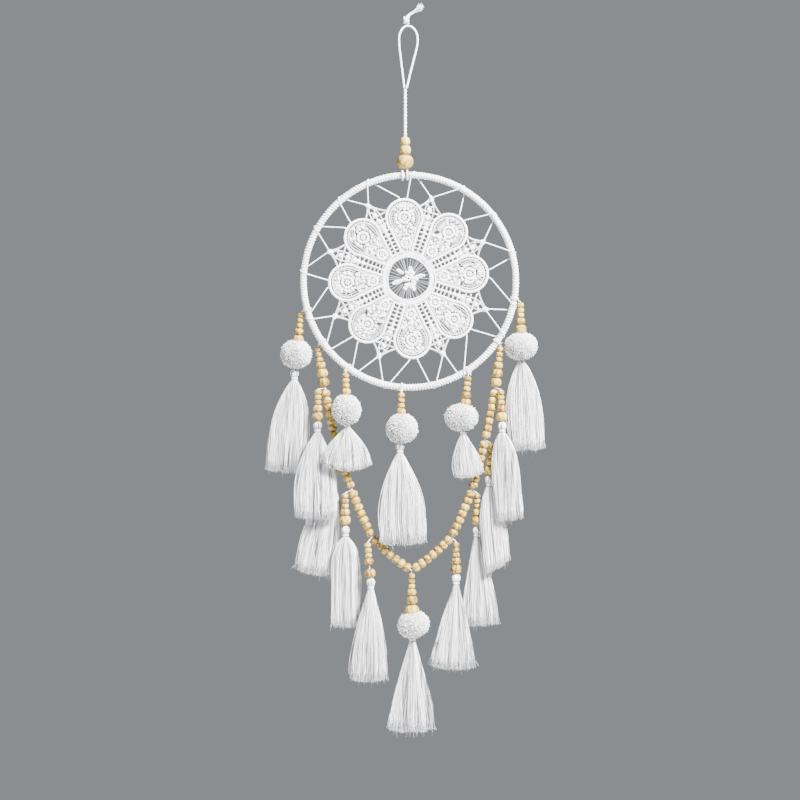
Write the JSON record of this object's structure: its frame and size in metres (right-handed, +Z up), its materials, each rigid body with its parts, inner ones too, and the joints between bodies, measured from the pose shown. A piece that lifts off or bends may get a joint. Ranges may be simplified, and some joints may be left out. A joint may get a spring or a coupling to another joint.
{
  "type": "dream catcher",
  "caption": "Wall-hung dream catcher: cord-wrapped hoop with laced-in lace medallion, beaded garland, wooden beads, pompoms and long tassels.",
  "frame": {"origin": "top inside of the hanging loop, where it bears on its hook", "axes": "+Z up, -Y the front, +X to the viewer's right"},
  "size_m": [0.257, 0.0382, 0.6686],
  "materials": {
    "cotton": "matte",
    "lace": "matte",
    "yarn": "matte",
    "silk": "satin",
    "wood": "satin",
    "steel": "satin"
  },
  "bodies": {
    "hanger": {"hanger_loop": "cotton"},
    "stem": {"stem_cord": "cotton", "stem_beads": "wood"},
    "hoop": {"hoop_core": "steel", "hoop_wrap": "cotton", "lace_medallion": "lace", "lacing_thread": "cotton", "strand_ties": "cotton"},
    "garland": {"garland_cord": "cotton", "garland_beads_left": "wood", "garland_beads_right": "wood", "lead_beads": "wood"},
    "strand_l1": {"cord_l1": "cotton", "beads_l1": "wood", "pompom_l1": "yarn", "tassel_l1": "silk"},
    "strand_l3": {"cord_l3": "cotton", "beads_l3": "wood", "pompom_l3": "yarn", "tassel_l3": "silk"},
    "strand_c": {"cord_c": "cotton", "beads_c": "wood", "pompom_c": "yarn", "tassel_c": "silk"},
    "strand_r3": {"cord_r3": "cotton", "beads_r3": "wood", "pompom_r3": "yarn", "tassel_r3": "silk"},
    "strand_r1": {"cord_r1": "cotton", "beads_r1": "wood", "pompom_r1": "yarn", "tassel_r1": "silk"},
    "strand_l2": {"cord_l2": "cotton", "beads_l2": "wood", "tassel_l2": "silk"},
    "strand_la": {"cord_la": "cotton", "beads_la": "wood", "tassel_la": "silk"},
    "strand_lb": {"cord_lb": "cotton", "beads_lb": "wood", "tassel_lb": "silk"},
    "strand_lc": {"cord_lc": "cotton", "beads_lc": "wood", "tassel_lc": "silk"},
    "strand_b": {"cord_b": "cotton", "beads_b": "wood", "pompom_b": "yarn", "tassel_b": "silk"},
    "strand_rc": {"cord_rc": "cotton", "beads_rc": "wood", "tassel_rc": "silk"},
    "strand_rb": {"cord_rb": "cotton", "beads_rb": "wood", "tassel_rb": "silk"},
    "strand_ra": {"cord_ra": "cotton", "beads_ra": "wood", "tassel_ra": "silk"},
    "strand_r2": {"cord_r2": "cotton", "beads_r2": "wood", "tassel_r2": "silk"}
  },
  "joints": [
    {"name": "stem_sway", "type": "hinge", "parent": "hanger", "child": "stem", "pos_m": [-0.0026, 0, -0.057], "axis": [0, 1, 0], "range_deg": [-20, 20]},
    {"name": "hoop_turn", "type": "hinge", "parent": "stem", "child": "hoop", "pos_m": [-0.0026, 0, -0.13], "axis": [0, 0, 1], "range_deg": [-90, 90]},
    {"name": "garland_swing", "type": "hinge", "parent": "hoop", "child": "garland", "pos_m": [0.0014, 0.0042, -0.289], "axis": [1, 0, 0], "range_deg": [0, 30]},
    {"name": "strand_l1_swing", "type": "hinge", "parent": "hoop", "child": "strand_l1", "pos_m": [-0.09506, 0.0034, -0.25839], "axis": [1, 0, 0], "range_deg": [0, 30]},
    {"name": "strand_l3_swing", "type": "hinge", "parent": "hoop", "child": "strand_l3", "pos_m": [-0.05653, -0.0034, -0.31351], "axis": [1, 0, 0], "range_deg": [-35, 0]},
    {"name": "strand_c_swing", "type": "hinge", "parent": "hoop", "child": "strand_c", "pos_m": [-0.0061, -0.0034, -0.33172], "axis": [1, 0, 0], "range_deg": [-35, 0]},
    {"name": "strand_r3_swing", "type": "hinge", "parent": "hoop", "child": "strand_r3", "pos_m": [0.05616, -0.0034, -0.31568], "axis": [1, 0, 0], "range_deg": [-35, 0]},
    {"name": "strand_r1_swing", "type": "hinge", "parent": "hoop", "child": "strand_r1", "pos_m": [0.10006, 0.0034, -0.24833], "axis": [1, 0, 0], "range_deg": [0, 30]},
    {"name": "strand_l2_sway", "type": "hinge", "parent": "garland", "child": "strand_l2", "pos_m": [-0.0761, 0.0042, -0.3294], "axis": [0, 1, 0], "range_deg": [0, 20]},
    {"name": "strand_la_swing", "type": "hinge", "parent": "garland", "child": "strand_la", "pos_m": [-0.066, 0.0042, -0.3768], "axis": [1, 0, 0], "range_deg": [0, 25]},
    {"name": "strand_lb_sway", "type": "hinge", "parent": "garland", "child": "strand_lb", "pos_m": [-0.0514, 0.0042, -0.4224], "axis": [0, 1, 0], "range_deg": [-6, 0]},
    {"name": "strand_lc_swing", "type": "hinge", "parent": "garland", "child": "strand_lc", "pos_m": [-0.0328, 0.0042, -0.4654], "axis": [1, 0, 0], "range_deg": [-30, 0]},
    {"name": "strand_b_swing", "type": "hinge", "parent": "garland", "child": "strand_b", "pos_m": [0.0034, 0.0042, -0.496], "axis": [1, 0, 0], "range_deg": [-30, 30]},
    {"name": "strand_rc_swing", "type": "hinge", "parent": "garland", "child": "strand_rc", "pos_m": [0.0397, 0.0042, -0.4653], "axis": [1, 0, 0], "range_deg": [-30, 0]},
    {"name": "strand_rb_swing", "type": "hinge", "parent": "garland", "child": "strand_rb", "pos_m": [0.0584, 0.0042, -0.4224], "axis": [1, 0, 0], "range_deg": [0, 25]},
    {"name": "strand_ra_sway", "type": "hinge", "parent": "garland", "child": "strand_ra", "pos_m": [0.0704, 0.0042, -0.3768], "axis": [0, 1, 0], "range_deg": [-15, 0]},
    {"name": "strand_r2_sway", "type": "hinge", "parent": "garland", "child": "strand_r2", "pos_m": [0.0796, 0.0042, -0.3294], "axis": [0, 1, 0], "range_deg": [-20, 0]}
  ],
  "couplings": [
    {"joint": "strand_l1_swing", "follows": "garland_swing", "ratio": 1},
    {"joint": "strand_r1_swing", "follows": "garland_swing", "ratio": 1}
  ]
}
